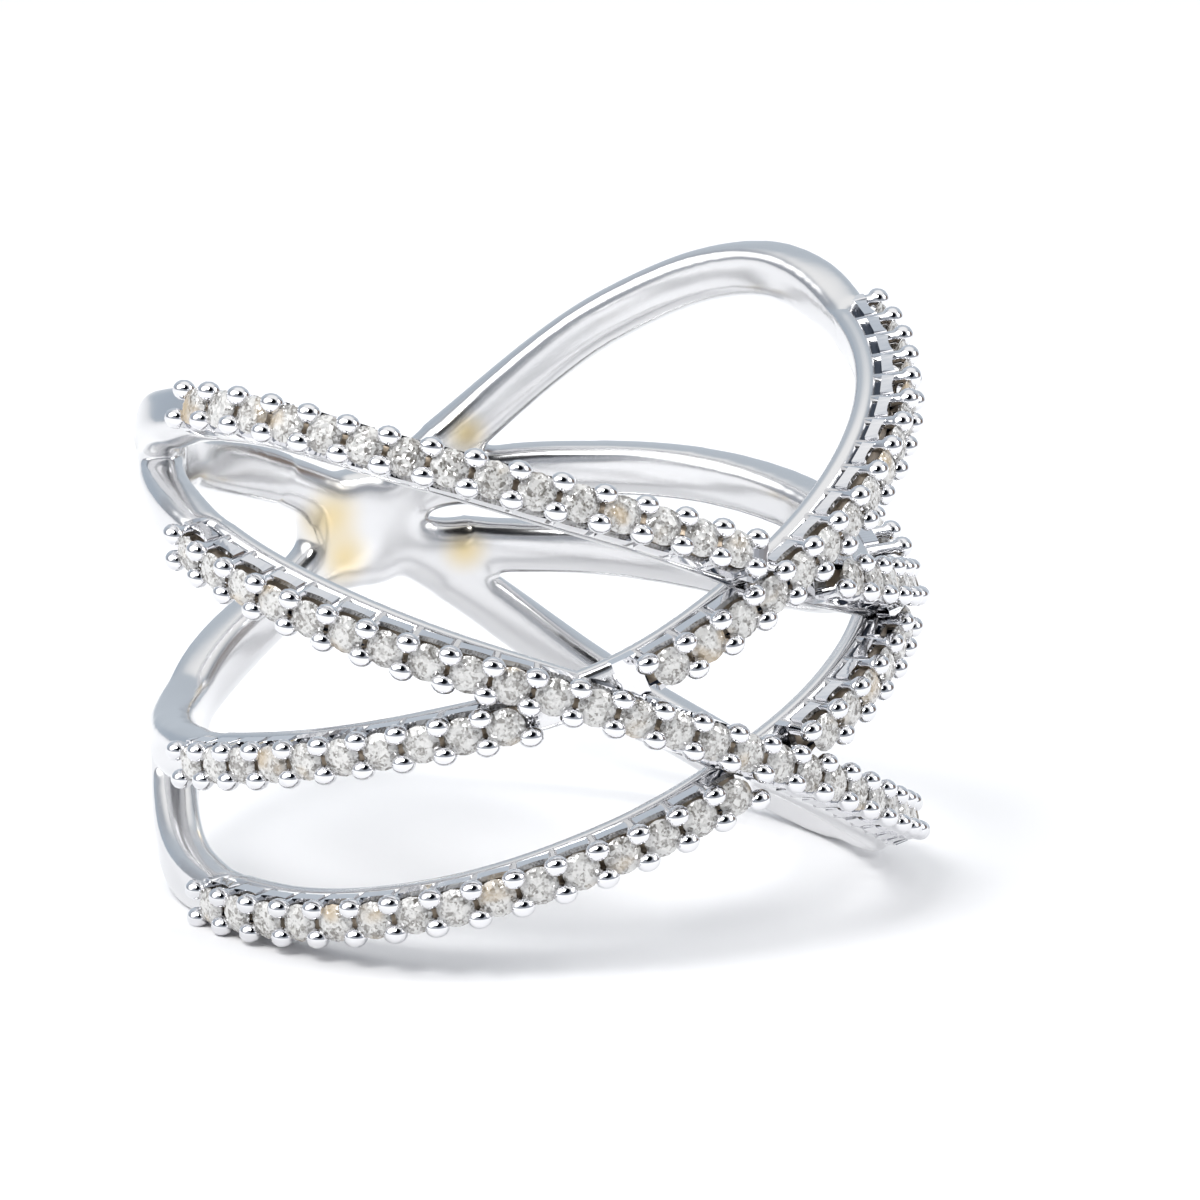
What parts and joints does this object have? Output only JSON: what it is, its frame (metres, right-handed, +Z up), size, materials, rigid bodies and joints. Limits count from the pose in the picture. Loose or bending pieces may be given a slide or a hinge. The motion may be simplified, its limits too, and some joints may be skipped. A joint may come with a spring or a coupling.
{
  "type": "pave ring",
  "caption": "Wide openwork finger ring of four crossing white-metal strands, pave stones held by bead prongs along the front and plain polished bands at the back.",
  "frame": {"origin": "middle of the ring's base, on the surface that it lies on", "axes": "+Z up from the surface, close to the axis of the finger hole; -Y towards the front with the stones; +X to the front's right"},
  "size_m": [0.0212, 0.0206, 0.016],
  "materials": {
    "white_metal": "high polish",
    "clear_stone": "faceted and polished"
  },
  "bodies": {
    "root": {"ring_frame": "white_metal", "stones_a": "clear_stone", "stones_b": "clear_stone", "stones_c": "clear_stone", "stones_d": "clear_stone"}
  },
  "joints": []
}
